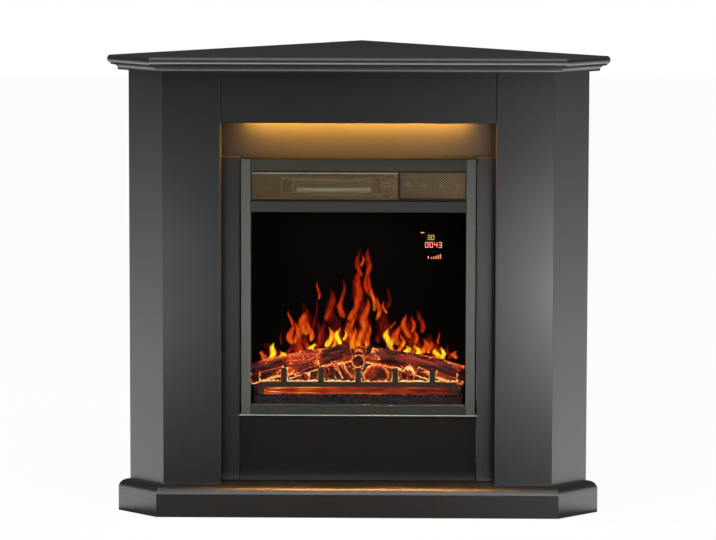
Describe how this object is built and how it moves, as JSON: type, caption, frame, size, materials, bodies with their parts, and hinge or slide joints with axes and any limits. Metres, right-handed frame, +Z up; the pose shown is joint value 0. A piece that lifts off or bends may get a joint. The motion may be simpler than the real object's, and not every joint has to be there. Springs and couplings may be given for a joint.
{
  "type": "corner fireplace",
  "caption": "Black corner mantel with a five-sided plan, lit niche and moulded shelf and plinth, holding a glazed electric fire insert with drop-down control flap.",
  "frame": {"origin": "on the floor, midway between the shelf's front nose and the back corner, on the middle line", "axes": "+X to the right seen from the front, +Y to the room corner, +Z up"},
  "size_m": [0.9778, 0.5754, 0.9],
  "materials": {
    "black_paint": "satin black paint over fibreboard",
    "raw_board": "bare fibreboard",
    "silicone_strip": "frosted silicone over warm light diodes",
    "trim_metal": "dark grey satin powder coat",
    "sheet_metal": "matt black coated sheet",
    "bronze_mesh": "bronze-toned fine mesh",
    "black_plastic": "moulded black",
    "key_plastic": "light grey moulded keys",
    "glass": "toughened clear glass, dark behind",
    "cast_embers": "moulded resin logs and embers, hand-coloured",
    "flame_cloth": "translucent screen that shows the flames",
    "galvanised_steel": "bright galvanised sheet",
    "circuit_laminate": "green laminate"
  },
  "bodies": {
    "mantel": {"shelf_board": "black_paint", "shelf_moulding_front": "black_paint", "shelf_moulding_left": "black_paint", "shelf_moulding_right": "black_paint", "pillar_front_left": "black_paint", "pillar_front_right": "black_paint", "return_panel_left": "black_paint", "return_panel_right": "black_paint", "pillar_cheek_left": "black_paint", "pillar_cheek_right": "black_paint", "header_panel": "black_paint", "soffit_board": "black_paint", "niche_back": "black_paint", "recess_stile_left": "black_paint", "recess_stile_right": "black_paint", "apron_panel": "black_paint", "base_board": "black_paint", "plinth_front": "black_paint", "plinth_left": "black_paint", "plinth_right": "black_paint", "plinth_rail_left": "raw_board", "plinth_rail_right": "raw_board", "corner_post": "raw_board", "insert_shelf": "raw_board", "light_strip": "silicone_strip", "frame_stile_left": "trim_metal", "frame_stile_right": "trim_metal", "frame_rail_top": "trim_metal", "frame_rail_middle": "trim_metal", "frame_rail_bottom": "trim_metal", "case_left": "sheet_metal", "case_right": "sheet_metal", "case_top": "sheet_metal", "case_bottom": "sheet_metal", "case_back": "sheet_metal", "outlet_grille": "bronze_mesh", "control_panel": "black_plastic", "display_module": "black_plastic", "cord_gland": "black_plastic", "light_driver": "black_plastic", "glass_pane": "glass", "ember_bed": "cast_embers", "ember_grate": "cast_embers", "log_left": "cast_embers", "log_right": "cast_embers", "log_centre": "cast_embers", "flame_screen": "flame_cloth", "spindle_motor": "galvanised_steel", "blower_housing": "galvanised_steel", "blower_motor": "galvanised_steel", "heater_element": "galvanised_steel", "circuit_board": "circuit_laminate", "light_board": "circuit_laminate"},
    "control_flap": {"control_flap": "bronze_mesh"},
    "button_power": {"button_power": "key_plastic"},
    "button_flame": {"button_flame": "key_plastic"},
    "button_heat": {"button_heat": "key_plastic"},
    "button_timer": {"button_timer": "key_plastic"},
    "blower_impeller": {"blower_impeller": "black_plastic"},
    "flame_spindle": {"flame_spindle": "galvanised_steel"}
  },
  "joints": [
    {"name": "flap_hinge", "type": "hinge", "parent": "mantel", "child": "control_flap", "pos_m": [0.14535, -0.18271, 0.6166], "axis": [1, 0, 0], "range_deg": [0, 90]},
    {"name": "button_power_travel", "type": "slide", "parent": "mantel", "child": "button_power", "axis": [0, 1, 0], "range_m": [0, 0.0012], "stiffness_N_per_m": 300},
    {"name": "button_flame_travel", "type": "slide", "parent": "mantel", "child": "button_flame", "axis": [0, 1, 0], "range_m": [0, 0.0012], "stiffness_N_per_m": 300},
    {"name": "button_heat_travel", "type": "slide", "parent": "mantel", "child": "button_heat", "axis": [0, 1, 0], "range_m": [0, 0.0012], "stiffness_N_per_m": 300},
    {"name": "button_timer_travel", "type": "slide", "parent": "mantel", "child": "button_timer", "axis": [0, 1, 0], "range_m": [0, 0.0012], "stiffness_N_per_m": 300},
    {"name": "blower_spin", "type": "hinge", "parent": "mantel", "child": "blower_impeller", "pos_m": [0, -0.10171, 0.644], "axis": [1, 0, 0], "continuous": true},
    {"name": "spindle_spin", "type": "hinge", "parent": "mantel", "child": "flame_spindle", "pos_m": [0, -0.04541, 0.258], "axis": [1, 0, 0], "continuous": true}
  ]
}
